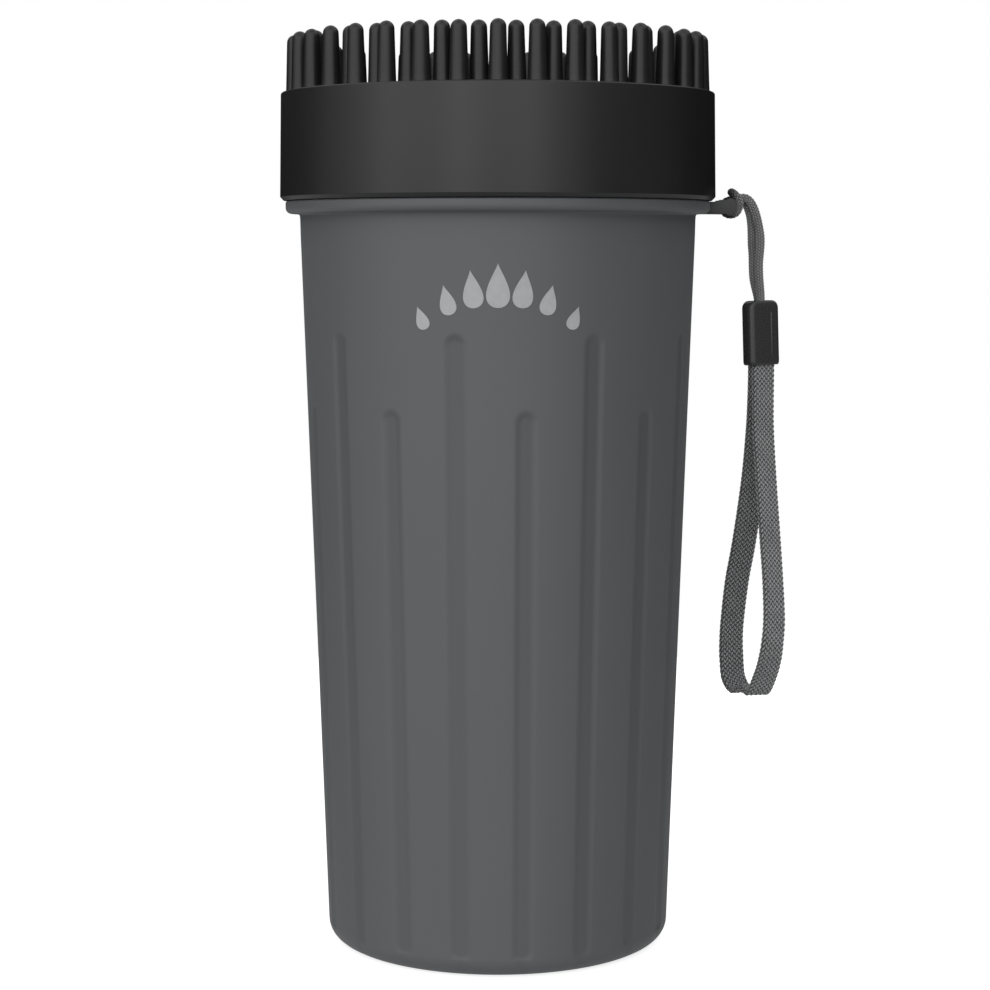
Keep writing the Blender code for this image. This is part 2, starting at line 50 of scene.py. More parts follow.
def size_of(node):
    """A node's lowest and highest z, and how far it reaches from the axis in Y."""
    low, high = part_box(node)
    return low[2], high[2], high[1]


# --- sizes taken from the frame -------------------------------------------------------
CUP_BOTTOM, NECK_TOP, FLANGE_RADIUS = size_of("cup_body")
COLLAR_BOTTOM, COLLAR_TOP, COLLAR_RADIUS = size_of("collar")
SEAL_BOTTOM, SEAL_TOP, SEAL_OUTER = size_of("seal_ring")
RING_BOTTOM, PIN_TOP, RING_OUTER = size_of("massage_ring")
SLEEVE_BOTTOM, SLEEVE_TOP, SLEEVE_FLANGE = size_of("paw_sleeve")
LINING_BOTTOM, LINING_TOP, _ = size_of("bristle_lining")
ferrule_low, ferrule_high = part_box("ferrule")
FERRULE_CENTRE = (Vector(ferrule_low) + Vector(ferrule_high)) / 2

# --- sizes of the cup -----------------------------------------------------------------
BASE_RADIUS = 39.8 * MM
TAPER = 0.0345
WALL = 2.0 * MM
FLOOR = 2.4 * MM
FOOT_RING = 30.0 * MM          # radius of the ring that the cup stands on
FOOT_RECESS = 0.35 * MM        # how far the middle of the foot is raised
BASE_FILLET = 4.3 * MM
INNER_FILLET = 3.5 * MM
FLANGE_TOP = COLLAR_BOTTOM - 0.12 * MM
FLANGE_BOTTOM = FLANGE_TOP - 2.85 * MM
NECK_RADIUS = 45.6 * MM
FLUTES = 18
FLUTE_PITCH = 2 * math.pi / FLUTES
FLUTE_PHASE = math.radians(-12.0)
FLUTE_DEPTH = 0.43 * MM
FLUTE_AT_FOOT = 0.62           # share of the depth that is left at the foot
FLUTE_HALF_WIDTH = 2.8 * MM
FLUTE_FLAT = 0.35              # share of the half width that is floor
LONG_FLUTE_TOP = 143.4 * MM
SHORT_FLUTE_TOP = 126.8 * MM
FLUTE_BOTTOM = 3.2 * MM
FLUTE_SHADE_TONE = 0.86             # of the plastic's dark tone: painted shade in the flutes

# --- lug ------------------------------------------------------------------------------
BAR = Vector((53.7, 0, 170.85)) * MM
BAR_RADIUS = 0.8 * MM
LUG_BOTTOM = 169.35 * MM
PLATE_TOP = 172.5 * MM
EAR = Vector((53.3, 0, 170.9)) * MM
EAR_RADII = (1.5 * MM, 1.95 * MM)
LUG_HALF_WIDTH = 5.2 * MM
SLOT_START = 50.3 * MM
SLOT_HALF_WIDTH = 3.7 * MM

# --- thread ---------------------------------------------------------------------------
LEAD = 5.0 * MM
THREAD_TURNS = 1.5
THREAD_HEIGHT = 1.25 * MM
THREAD_START = 178.0 * MM
THREAD_SECTION = (             # (share of the height, mm along the axis)
    (-0.6, -0.95), (0.0, -0.85), (0.7, -0.5), (1.0, -0.25),
    (1.0, 0.25), (0.7, 0.5), (0.0, 0.85), (-0.6, 0.95),
)
THREAD_PER_TURN = 72
THREAD_RUN_OUT = 8             # steps over which an end fades into the wall
SKIRT_RADIUS = 47.4 * MM

# --- pins and bristles ----------------------------------------------------------------
PIN_COUNT = 35
PIN_CIRCLES = ((46.5 * MM, 0.0), (44.1 * MM, 0.5))
PIN_BASE_RADIUS = 2.12 * MM
PIN_TIP_RADIUS = 1.75 * MM
PIN_FOOT = (                   # (distance along the pin, radius)
    (0.0, PIN_BASE_RADIUS + 0.25 * MM), (0.6 * MM, PIN_BASE_RADIUS + 0.2 * MM),
    (0.95 * MM, PIN_BASE_RADIUS + 0.02 * MM),
)
PIN_SHORTER = 0.25             # mm by which a pin may be shorter, by chance
PIN_LEAN = 0.012
RING_TOP = 195.7 * MM
RABBET_Z = 193.9 * MM
BRISTLE_COLUMNS = 12
BRISTLE_ROWS = 6
BRISTLE_FIRST_Z = 109.0 * MM
BRISTLE_ROW_STEP = 14.0 * MM
BRISTLE_FOOT = ((0.0, 2.2 * MM), (0.6 * MM, 2.0 * MM), (1.2 * MM, 1.65 * MM))
BRISTLE_RADII = (1.6 * MM, 0.9 * MM)
SLEEVE_OUTER = 39.3 * MM
SLEEVE_INNER = 38.1 * MM
LINING_INNER = 36.9 * MM
BRISTLE_TIP_AT = 25.0 * MM

# --- strap ----------------------------------------------------------------------------
# A weave is its columns round the tube, its stitch and its yarns' width and thickness.
CORD_DIAMETER = 2.1 * MM
CORD_WEAVE = (10, 0.68 * MM, (0.38 * MM, 0.27 * MM))
BAND_WIDTH = 6.0 * MM
BAND_THICKNESS = 1.5 * MM
BAND_WEAVE = (20, 1.18 * MM, (0.50 * MM, 0.36 * MM))
YARN_SIDES = 5
YARN_RISE = 0.42               # of its thickness, over and under the others
STEPS_PER_COLUMN = 3
CORE_SIDES = 12
PLAIN_UV = (0.5, 0.5)
FRONT_LEG = (
    (60.85, -0.95, 146.0), (60.82, -0.95, 149.8), (60.66, -0.95, 152.3),
    (60.42, -0.95, 155.1), (60.34, -0.95, 158.1), (60.62, -0.95, 161.6),
    (60.62, -0.95, 164.2), (60.20, -0.95, 166.6), (59.68, -0.95, 168.8),
    (58.98, -0.95, 170.8), (58.15, -0.95, 172.2), (57.15, -0.95, 172.95),
    (56.00, -0.95, 173.05), (54.90, -0.95, 172.88),
)
HITCH_HALF = (
    (53.70, -0.95, 172.55), (52.50, -0.93, 172.05), (52.00, -0.92, 170.85),
    (52.50, -0.92, 169.65), (53.70, -0.95, 169.15), (54.95, -1.15, 169.55),
    (55.60, -1.65, 170.75), (55.65, -2.35, 171.95), (55.10, -2.60, 173.15),
    (54.35, -1.90, 174.05), (54.00, -0.95, 174.32), (53.95, 0.00, 174.36),
)
REAR_LEG = (
    (60.65, 0.95, 146.0), (60.48, 0.95, 149.6), (59.88, 0.95, 152.2),
    (59.40, 0.95, 154.4), (59.22, 0.95, 156.8), (59.12, 0.95, 160.0),
    (58.92, 0.95, 162.5), (58.86, 0.95, 164.7), (58.74, 0.95, 167.0),
    (58.42, 0.95, 169.1), (57.82, 0.95, 170.9), (57.00, 0.95, 172.2),
    (56.00, 0.95, 172.75), (54.90, 0.95, 172.80),
)
BAND_ROUTE = (
    (61.55, -0.83, 138.4, 26), (61.62, -0.83, 134.3, 26), (61.62, -1.00, 127.0, 27),
    (61.68, -1.65, 119.4, 28), (62.30, -3.40, 107.9, 31), (63.10, -6.00, 94.2, 31),
    (63.60, -7.90, 85.1, 32), (63.85, -9.28, 76.39, 28), (63.48, -9.68, 70.71, 24),
    (62.97, -8.41, 66.08, 16), (62.12, -6.24, 61.94, 10), (60.80, -3.56, 57.95, 12),
    (59.46, 0.06, 58.75, 14), (57.78, 3.67, 57.30, 10), (56.17, 6.56, 59.54, 2),
    (55.81, 8.25, 63.53, 3), (55.75, 9.16, 68.30, 11), (56.00, 9.16, 73.36, 12),
    (56.95, 8.40, 82.9, 8), (58.40, 6.50, 92.7, 8), (60.00, 3.75, 107.2, 11),
    (60.70, 1.90, 119.2, 17), (60.85, 1.10, 127.0, 22), (60.85, 0.83, 134.3, 25),
    (60.75, 0.83, 138.4, 26),
)
# dark tone painted as shade into the gaps between yarns and where they pass under
GAP_SHADE = (0.016, 0.016, 0.0165)
# painted shadow on the cord in the slot, under the collar, up to this x and fading over
# HITCH_FADE
HITCH_DARK_TO = 53.4 * MM
HITCH_FADE = 1.6 * MM
HITCH_TIGHT = (14 * MM, 5 * MM)  # its half length, and the fade to full thickness
FERRULE_SIZE = (8.35 * MM, 4.4 * MM, 14.9 * MM)
FERRULE_TURN = math.radians(26.0)
FERRULE_TILT = math.radians(-1.9)
FERRULE_CORNERS = (1.45 * MM, 1.5 * MM)
FERRULE_RIB = (                # (distance along the rib, radius)
    (0, 0.05 * MM), (0.4 * MM, 0.3 * MM), (0.9 * MM, 0.4 * MM),
    (10.1 * MM, 0.4 * MM), (10.6 * MM, 0.3 * MM), (11.0 * MM, 0.05 * MM),
)

# --- printed drops --------------------------------------------------------------------
DROP_HEIGHTS = (5.2, 6.6, 8.2, 9.6, 8.2, 6.6, 5.2)
DROP_SPREAD = 33.0 * MM
DROP_TOP_Z = 153.5 * MM        # height of the middle drop, at the top of the arch
DROP_SAG = 7.0 * MM
DROP_WIDTH = 0.62              # of the height
DROP_POINT = 1.6               # how strongly it narrows to its point
DROP_FULLER = 1.25             # makes up for the width that the narrowing takes
PRINT_LIFT = 0.02 * MM
PRINT_THICKNESS = 0.07 * MM

# --- studio ---------------------------------------------------------------------------
# Soft-edged bright panels. Each has a left, right, low and high edge in degrees, as
# (where it starts, where it is full), and a strength.
ALL_ROUND = ((-179, -178), (180, 179))
UPRIGHT = ((-15, -3), (45, 25))  # from just under level to well above it
PANELS = (
    ((-115, -95), (-45, -65), *UPRIGHT, 0.33),
    ((-92, -80), (-52, -62), *UPRIGHT, 0.28),
    ((-75, -55), (-5, -25), *UPRIGHT, 1.22),
    ((-30, -15), (30, 15), *UPRIGHT, 1.17),
    ((8, 16), (50, 40), *UPRIGHT, 0.57),
    ((5, 25), (75, 55), *UPRIGHT, 0.04),
    ((45, 65), (115, 95), *UPRIGHT, 0.07),
    (*ALL_ROUND, (20, 40), (85, 70), 0.89),
    (*ALL_ROUND, (-91, -90.5), (-8, -22), 0.38),
)
FLOOR_RADIUS = 0.40
FLOOR_GLOW = 0.75
FLOOR_GAP = 0.0001             # keeps the floor clear of the cup's foot
CAMERA_LENS = 89.1
CAMERA_SENSOR = 36.0
CAMERA_PLACE = (-0.00065, -0.570, 0.16086)
CAMERA_DOWN = 0.0993           # radians below level


# --- node helpers ---------------------------------------------------------------------
class Tree:
    """A node tree with short ways to add, feed and join nodes."""

    def __init__(self, tree):
        self.tree = tree

    def add(self, kind, **settings):
        node = self.tree.nodes.new(kind)
        for key, value in settings.items():
            setattr(node, key, value)
        return node

    def join(self, source, target):
        self.tree.links.new(source, target)

    def feed(self, socket, value):
        """Give a socket a number or a colour of its own, or join an output to it."""
        if isinstance(value, (int, float)):
            socket.default_value = value
        elif isinstance(value, tuple):
            socket.default_value = (*value, 1.0)
        else:
            self.join(value, socket)

    def math(self, operation, *values):
        node = self.add("ShaderNodeMath", operation=operation)
        for value, socket in zip(values, node.inputs):
            self.feed(socket, value)
        return node.outputs[0]


class Nodes(Tree):
    """A new material's node tree, with its shader."""

    def __init__(self, name, roughness=0.5):
        self.material = bpy.data.materials.new(name)
        self.material.use_nodes = True
        super().__init__(self.material.node_tree)
        self.shader = self.tree.nodes["Principled BSDF"]
        self.shader.inputs["Roughness"].default_value = roughness
        self.place = self.add("ShaderNodeTexCoord").outputs["Object"]

    def noise(self, scale, detail=3.0, stretch=(1, 1, 1), vector=None, roughness=0.5):
        mapping = self.add("ShaderNodeMapping")
        mapping.inputs["Scale"].default_value = stretch
        self.join(vector or self.place, mapping.inputs["Vector"])
        noise = self.add("ShaderNodeTexNoise")
        noise.inputs["Scale"].default_value = scale
        noise.inputs["Detail"].default_value = detail
        noise.inputs["Roughness"].default_value = roughness
        self.join(mapping.outputs[0], noise.inputs["Vector"])
        return noise.outputs["Fac"]

    def span(self, value, low, high, from_low=0.0, from_high=1.0):
        """Map a value from one range to another, and stop at its ends."""
        node = self.add("ShaderNodeMapRange", clamp=True)
        node.inputs["From Min"].default_value = from_low
        node.inputs["From Max"].default_value = from_high
        node.inputs["To Min"].default_value = low
        node.inputs["To Max"].default_value = high
        self.join(value, node.inputs["Value"])
        return node.outputs["Result"]

    def mix(self, factor, first, second):
        node = self.add("ShaderNodeMix", data_type="RGBA")
        self.feed(node.inputs[0], factor)
        self.feed(node.inputs[6], first)
        self.feed(node.inputs[7], second)
        return node.outputs[2]

    def bump(self, height, distance, strength=1.0):
        node = self.add("ShaderNodeBump")
        node.inputs["Strength"].default_value = strength
        node.inputs["Distance"].default_value = distance
        self.join(height, node.inputs["Height"])
        return node.outputs["Normal"]

    def set(self, **sockets):
        for name, value in sockets.items():
            self.feed(self.shader.inputs[name.replace("_", " ")], value)


def moulded_plastic(name, dark, light, roughness, grain, scuff_colour, scuffs, sheen=0.0):
    """Moulded plastic: faint flow mottling, a fine grain, and short hair scratches.

    A mesh may have a groove attribute, 0 to 1, where the plastic is painted darker as shade
    in its grooves.
    """
    m = Nodes(name)
    cloud = m.noise(22.0, 3.0, (1, 1, 0.3))
    fine = m.noise(2600.0, 2.0)
    colour = m.mix(m.span(cloud, 0.0, 1.0, 0.35, 0.68), dark, light)
    colour = m.mix(m.span(fine, 0.0, 0.05, 0.45, 0.7), colour, scuff_colour)
    scratch = m.noise(60.0, 2.0, (9.0, 9.0, 0.9), roughness=0.6)
    scratch = m.span(scratch, 0.0, 1.0, 0.72, 0.76)
    patch = m.span(m.noise(14.0, 3.0), 0.0, 1.0, 0.5, 0.68)
    scratch = m.math("MULTIPLY", m.math("MULTIPLY", scratch, patch), scuffs)
    colour = m.mix(scratch, colour, scuff_colour)
    rough = m.math("ADD", m.span(cloud, roughness - 0.03, roughness + 0.03, 0.3, 0.7),
                   m.span(fine, -0.02, 0.02, 0.3, 0.7))
    height = m.math("ADD", m.noise(3000.0, 2.0), m.math("MULTIPLY", scratch, -0.6))
    # painted shade: the plastic darkens in its grooves, as far as the groove attribute says
    groove = m.add("ShaderNodeAttribute", attribute_name="groove").outputs["Fac"]
    painted_flute_shade = tuple(value * FLUTE_SHADE_TONE for value in dark)
    colour = m.mix(m.math("MULTIPLY", groove, 0.9), colour, painted_flute_shade)
    m.set(Base_Color=colour, Roughness=rough, Sheen_Weight=sheen, Sheen_Roughness=0.4,
          Normal=m.bump(height, grain))
    return m.material


def silicone(name, dark, light, roughness, dust, dust_share=0.35, sheen=0.12):
    """Soft silicone with faint dust that catches on its surface."""
    m = Nodes(name)
    cloud = m.noise(45.0, 4.0)
    specks = m.span(m.noise(1400.0, 2.0), 0.0, 1.0, 0.60, 0.72)
    colour = m.mix(m.span(cloud, 0.0, 1.0, 0.35, 0.7), dark, light)
    colour = m.mix(m.math("MULTIPLY", specks, dust_share), colour, dust)
    rough = m.span(cloud, roughness - 0.06, roughness + 0.07, 0.3, 0.7)
    m.set(Base_Color=colour, Roughness=rough, Sheen_Weight=sheen, Sheen_Roughness=0.45,
          Normal=m.bump(m.noise(1100.0, 4.0), 0.00002))
    return m.material


def yarn(name, dark, light, gap):
    """Filament yarn: fine fibres run along each yarn, shaded by their own lines.

    gap is the range of the depth attribute over which the yarn comes out of the painted
    shade of the gaps.
    """
    m = Nodes(name, 0.75)
    uv = m.add("ShaderNodeUVMap", uv_map="yarn").outputs[0]
    fibres = m.noise(6.0, 3.0, (7.0, 0.35, 1.0), uv, 0.65)
    tone = m.noise(260.0, 3.0)
    depth = m.add("ShaderNodeAttribute", attribute_name="depth").outputs["Fac"]
    colour = m.mix(m.span(fibres, 0.0, 1.0, 0.3, 0.7), dark, light)
    colour = m.mix(m.span(tone, 0.0, 0.5, 0.35, 0.75), colour, dark)
    # painted shade: yarn of low depth, in gaps and under crossings, takes the dark gap tone
    colour = m.mix(m.span(depth, 0.0, 1.0, *gap), GAP_SHADE, colour)
    rough = m.span(fibres, 0.62, 0.85, 0.3, 0.7)
    m.set(Base_Color=colour, Roughness=rough, Sheen_Weight=0.35, Sheen_Roughness=0.5,
          Normal=m.bump(fibres, 0.00006, 0.9))
    return m.material


def ink(name, shade):
    """Pad-printed ink: slightly uneven, with pin holes of the plastic's grain."""
    m = Nodes(name)
    worn = m.noise(700.0, 4.0)
    thin = tuple(value * 0.9 for value in shade)
    colour = m.mix(m.span(worn, 0.0, 1.0, 0.3, 0.72), thin, shade)
    m.set(Base_Color=colour, Roughness=m.span(worn, 0.42, 0.58, 0.3, 0.7),
          Normal=m.bump(m.noise(1500.0, 3.0), 0.000006))
    return m.material


# --- mesh helpers ---------------------------------------------------------------------
def new_object(name, data):
    thing = bpy.data.objects.new(name, data)
    bpy.context.collection.objects.link(thing)
    return thing


def new_mesh(name, points, faces):
    mesh = bpy.data.meshes.new(name)
    mesh.from_pydata([tuple(point) for point in points], [], faces)
    return mesh


def mesh_from(name, shape):
    """Turn a bmesh into a mesh, and free it."""
    mesh = bpy.data.meshes.new(name)
    shape.to_mesh(mesh)
    shape.free()
    return mesh


def turn_outwards(mesh, extra=None):
    """Turn a mesh's faces outwards, once the extra mesh has joined it."""
    shape = bmesh.new()
    shape.from_mesh(mesh)
    if extra:
        shape.from_mesh(extra)
    bmesh.ops.recalc_face_normals(shape, faces=shape.faces)
    shape.to_mesh(mesh)
    shape.free()


def finish_mesh(mesh, material, smooth_angle):
    mesh.shade_smooth()
    mesh.set_sharp_from_angle(angle=math.radians(smooth_angle))
    mesh.materials.append(material)


class Shape:
    """Points and faces collected from several closed surfaces."""

    def __init__(self):
        self.points = []
        self.faces = []

    def rows(self, rows, closed=False):
        """Join rows of points, each a closed loop, into a tube with capped ends."""
        starts = []
        for row in rows:
            starts.append(len(self.points))
            self.points.extend(row)
        count = len(rows[0])
        pairs = list(zip(starts, starts[1:]))
        if closed:
            pairs.append((starts[-1], starts[0]))
        for lower, upper in pairs:
            for step in range(count):
                after = (step + 1) % count
                self.faces.append((lower + step, lower + after,
                                   upper + after, upper + step))
        if not closed:
            self.faces.append(tuple(reversed(range(starts[0], starts[0] + count))))
            self.faces.append(tuple(range(starts[-1], starts[-1] + count)))

    def turned(self, profile, angles, radius_at=None, closed=True):
        """Turn a profile of (radius, z) about the axis; radius_at may reshape it."""
        rows = []
        for radius, z in profile:
            row = []
            for angle in angles:
                reach = radius_at(radius, z, angle) if radius_at else radius
                row.append((reach * math.sin(angle), -reach * math.cos(angle), z))
            rows.append(row)
        self.rows(rows, closed=closed)

    def peg(self, start, axis, stations, sides):
        """A round peg: stations are (distance along axis, radius)."""
        axis = Vector(axis).normalized()
        across = axis.orthogonal().normalized()
        other = axis.cross(across)
        rows = []
        for distance, radius in stations:
            centre = Vector(start) + axis * distance
            rows.append([
                centre + (across * math.cos(angle) + other * math.sin(angle)) * radius
                for angle in even_angles(sides)
            ])
        self.rows(rows)

    def ridge(self, wall, outward, start_z):
        """A thread ridge with a rounded crest whose ends run out into the wall."""
        steps = round(THREAD_TURNS * THREAD_PER_TURN)
        rows = []
        for step in range(steps + 1):
            angle = 2 * math.pi * step / THREAD_PER_TURN
            share = min(1.0, min(step, steps - step) / THREAD_RUN_OUT)
            height = THREAD_HEIGHT * math.sin(share * math.pi / 2)
            row = []
            for rise, along in THREAD_SECTION:
                lift = rise * (height if rise > 0 else THREAD_HEIGHT)
                reach = wall + outward * lift
                z = start_z + LEAD * step / THREAD_PER_TURN + along * MM
                row.append((reach * math.sin(angle), -reach * math.cos(angle), z))
            rows.append(row)
        self.rows(rows)

    def make(self, name, material, smooth_angle=40.0):
        """Make the object, with its faces turned outwards."""
        mesh = new_mesh(name, self.points, self.faces)
        mesh.validate()
        turn_outwards(mesh)
        finish_mesh(mesh, material, smooth_angle)
        return new_object(name, mesh)


def even_angles(count):
    return [2 * math.pi * step / count for step in range(count)]


def finger(foot, shoulder, radii, shaft_steps, tip_steps, quarter):
    """Stations of a tapered peg: its flared foot, its shaft and its round end.

    radii are the shaft's at its root and at its shoulder. The end stops a little short
    of a quarter circle, which would take as many steps as quarter says.
    """
    root, tip = radii
    stations = list(foot)
    begin = foot[-1][0]
    for step in range(1, shaft_steps + 1):
        share = step / shaft_steps
        stations.append((begin + (shoulder - begin) * share, root + (tip - root) * share))
    for step in range(1, tip_steps + 1):
        turn = math.pi / 2 * step / quarter
        stations.append((shoulder + tip * math.sin(turn), tip * math.cos(turn)))
    return stations


def rounded(corners, steps=5, closed=True):
    """Round a profile's corners. Each corner is (radius, z, fillet)."""
    profile = []
    count = len(corners)
    for index, (r, z, fillet) in enumerate(corners):
        here = Vector((r, z))
        open_end = not closed and index in (0, count - 1)
        if fillet <= 0 or open_end:
            profile.append((r, z))
            continue
        before = Vector(corners[index - 1][:2])
        after = Vector(corners[(index + 1) % count][:2])
        back, ahead = (before - here), (after - here)
        turn = back.angle(ahead)
        reach = min(fillet / math.tan(turn / 2), 0.49 * back.length, 0.49 * ahead.length)
        start = here + back.normalized() * reach
        end = here + ahead.normalized() * reach
        weight = math.sin(turn / 2)
        for step in range(steps + 1):
            t = step / steps
            w0, w1, w2 = (1 - t) ** 2, 2 * t * (1 - t) * weight, t ** 2
            point = (start * w0 + here * w1 + end * w2) / (w0 + w1 + w2)
            profile.append((point.x, point.y))
    return profile


def ring_shape(corners, count, steps=5):
    """A shape that starts as a ring turned from a rounded profile."""
    shape = Shape()
    shape.turned(rounded(corners, steps), even_angles(count))
    return shape


def smooth_route(points, spacing):
    """Even points along a smooth curve through the given ones (any dimension)."""
    points = [Vector(point) for point in points]
    padded = [points[0] * 2 - points[1], *points, points[-1] * 2 - points[-2]]
    fine = []
    pieces = 24
    for before, here, there, after in zip(padded, padded[1:], padded[2:], padded[3:]):
        for piece in range(pieces):
            t = piece / pieces
            fine.append(0.5 * (2 * here + (there - before) * t
                               + (2 * before - 5 * here + 4 * there - after) * t ** 2
                               + (3 * here - before - 3 * there + after) * t ** 3))
    fine.append(points[-1])
    travelled = [0.0]
    for here, there in zip(fine, fine[1:]):
        travelled.append(travelled[-1] + (there.xyz - here.xyz).length)
    count = round(travelled[-1] / spacing)
    route, place = [], 0
    for step in range(count + 1):
        wanted = travelled[-1] * step / count
        while place < len(fine) - 2 and travelled[place + 1] < wanted:
            place += 1
        share = (wanted - travelled[place]) / (travelled[place + 1] - travelled[place])
        route.append(fine[place].lerp(fine[place + 1], share))
    return route


def route_length(route):
    return sum((there.xyz - here.xyz).length for here, there in zip(route, route[1:]))


# --- camera ---------------------------------------------------------------------------
def make_camera():
    data = bpy.data.cameras.new("camera")
    data.lens = CAMERA_LENS
    data.sensor_width = CAMERA_SENSOR
    camera = new_object("camera", data)
    camera.location = CAMERA_PLACE
    camera.rotation_euler = (math.pi / 2 - CAMERA_DOWN, 0, 0)
    bpy.context.scene.camera = camera


# --- cord and band --------------------------------------------------------------------
def stadium(place, half_width, half_thickness):
    """The point and outward normal at a share of the way round a flat rounded section."""
    flat = 2 * (half_width - half_thickness)
    bend = math.pi * half_thickness
    run = (place % 1.0) * 2 * (flat + bend)
    side = 1
    if run >= flat + bend:
        run -= flat + bend
        side = -1
    if run < flat:
        return side * (run - flat / 2), -side * half_thickness, 0.0, -side
    angle = (run - flat) / half_thickness - math.pi / 2
    u, v = math.cos(angle), math.sin(angle)
    return (side * (flat / 2 + half_thickness * u), side * half_thickness * v,
            side * u, side * v)


def frames_along(route):
    """Place, across and face directions along a route, carried on without twist.

    Where a route has a fourth number, it turns the direction across about Z.
    """
    frames = []
    across = Vector((0, 1, 0))
    for step, place in enumerate(route):
        ahead = route[min(step + 1, len(route) - 1)].xyz
        behind = route[max(step - 1, 0)].xyz
        tangent = (ahead - behind).normalized()
        if len(place) == 4:
            across = Vector((math.cos(place.w), math.sin(place.w), 0))
        across = (across - tangent * across.dot(tangent)).normalized()
        frames.append((place.xyz, across, tangent.cross(across)))
    return frames


def frame_at(frames, share):
    """The frame at a share of the way along evenly spaced frames."""
    at = min(max(share, 0.0), 1.0) * (len(frames) - 1)
    index = min(int(at), len(frames) - 2)
    part = at - index
    here, there = frames[index], frames[index + 1]
    return [a.lerp(b, part) for a, b in zip(here, there)]


def braid(name, frames, length, width, thickness, weave, material, squeeze=None):
    """A hollow braid, flattened to the given section, as real interlaced yarns.

    As many yarns run each way round as the surface has columns. Each passes over one
    column and under the next, so a column shows the slanting stitches of one
    direction only, and neighbouring columns slant opposite ways, half a stitch apart.
    """
    columns, stitch, (yarn_width, yarn_thickness) = weave
    rise = yarn_thickness * YARN_RISE
    half_thickness = thickness / 2 - yarn_thickness / 2 - rise
    half_width = width / 2 - yarn_thickness / 2 - rise
    pitch = columns * stitch
    steps = round(length / pitch * columns * STEPS_PER_COLUMN)
    points, faces, uvs, depths = [], [], [], []

    def section_point(share, place, lift):
        centre, across, face = frame_at(frames, share)
        u, v, nu, nv = stadium(place, half_width, half_thickness)
        scale = squeeze(share) if squeeze else 1.0
        normal = across * nu + face * nv
        return centre + (across * u + face * v + normal * lift) * scale, normal

    def skin(first, rows, sides, uv_at):
        """Faces along a tube's rows and over its two ends, with their UVs."""
        for step in range(rows - 1):
            low, high = first + step * sides, first + (step + 1) * sides
            for corner in range(sides):
                after = (corner + 1) % sides
                faces.append((low + corner, low + after, high + after, high + corner))
                uvs.extend([uv_at(corner, step), uv_at(corner + 1, step),
                            uv_at(corner + 1, step + 1), uv_at(corner, step + 1)])
        for end, turn in ((first, -1), (first + (rows - 1) * sides, 1)):
            faces.append(tuple(range(end, end + sides))[::turn])
            uvs.extend([PLAIN_UV] * sides)

    for direction, start in ((1, 0.0), (-1, stitch / 2)):
        for carrier in range(columns):
            line = []
            for step in range(steps + 1):
                share = step / steps
                place = direction * (length * share + start) / pitch + carrier / columns
                over = direction * math.cos(math.pi * columns * place)
                point, normal = section_point(share, place, rise * over)
                line.append((point, normal, over))
            first = len(points)
            for step, (point, normal, over) in enumerate(line):
                ahead = line[min(step + 1, steps)][0]
                behind = line[max(step - 1, 0)][0]
                tangent = (ahead - behind).normalized()
                side = tangent.cross(normal).normalized()
                up = side.cross(tangent)
                for angle in even_angles(YARN_SIDES):
                    points.append(point + side * math.cos(angle) * yarn_width / 2
                                  + up * math.sin(angle) * yarn_thickness / 2)
                    # depth masks the painted shade: low where the yarn passes under the
                    # others, high where it lies on top
                    depths.append(0.5 + 0.5 * over * (0.6 + 0.4 * math.sin(angle)))
            skin(first, steps + 1, YARN_SIDES,
                 lambda corner, step: (corner / YARN_SIDES, step / STEPS_PER_COLUMN))
    # the core has depth 0, so it takes the full painted gap shade
    core_first = len(points)
    for step in range(len(frames)):
        for corner in range(CORE_SIDES):
            share = step / (len(frames) - 1)
            place, normal = section_point(share, corner / CORE_SIDES, -rise / 2)
            points.append(place)
            depths.append(0.0)
    skin(core_first, len(frames), CORE_SIDES, lambda corner, step: PLAIN_UV)

    mesh = new_mesh(name, points, faces)
    layer = mesh.uv_layers.new(name="yarn")
    layer.uv.foreach_set("vector", [value for uv in uvs for value in uv])
    depth = mesh.attributes.new("depth", "FLOAT", "POINT")
    depth.data.foreach_set("value", depths)
    mesh.shade_smooth()
    mesh.materials.append(material)
    return new_object(name, mesh)


def shade_hitch(cord):
    """Paint shadow on the yarn pressed into the slot, under the collar: its depth is
    lowered, so it darkens.
    """
    depth = cord.data.attributes["depth"].data
    for vert, value in zip(cord.data.vertices, depth):
        clear = min(1.0, max(0.0, (vert.co.x - HITCH_DARK_TO) / HITCH_FADE))
        value.value *= 0.45 + 0.55 * clear


def make_strap(cord_material, band_material):
    """The knitted cord and the braided band."""
    mirrored = [(x, -y, z) for x, y, z in reversed(HITCH_HALF[:-1])]
    points = [*FRONT_LEG, *HITCH_HALF, *mirrored, *reversed(REAR_LEG)]
    route = smooth_route([Vector(point) * MM for point in points], 0.5 * MM)
    length = route_length(route)

    def squeeze(share):
        """The cord is pulled tight, and so thinner, in the hitch."""
        past_hitch = abs(share - 0.5) * length - HITCH_TIGHT[0]
        return 0.86 + 0.14 * min(1.0, max(0.0, past_hitch / HITCH_TIGHT[1]))

    cord = braid("lanyard_cord_knit", frames_along(route), length, CORD_DIAMETER,
                 CORD_DIAMETER, CORD_WEAVE, cord_material, squeeze)
    shade_hitch(cord)
    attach(cord, "strap")
    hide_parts("lanyard_cord")

    points = [(x * MM, y * MM, z * MM, math.radians(turn)) for x, y, z, turn in BAND_ROUTE]
    route = smooth_route(points, 1.0 * MM)
    length = route_length(route)
    band = braid("wrist_loop_braid", frames_along(route), length, BAND_WIDTH, BAND_THICKNESS,
                 BAND_WEAVE, band_material)
    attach(band, "strap")
    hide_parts("wrist_loop")


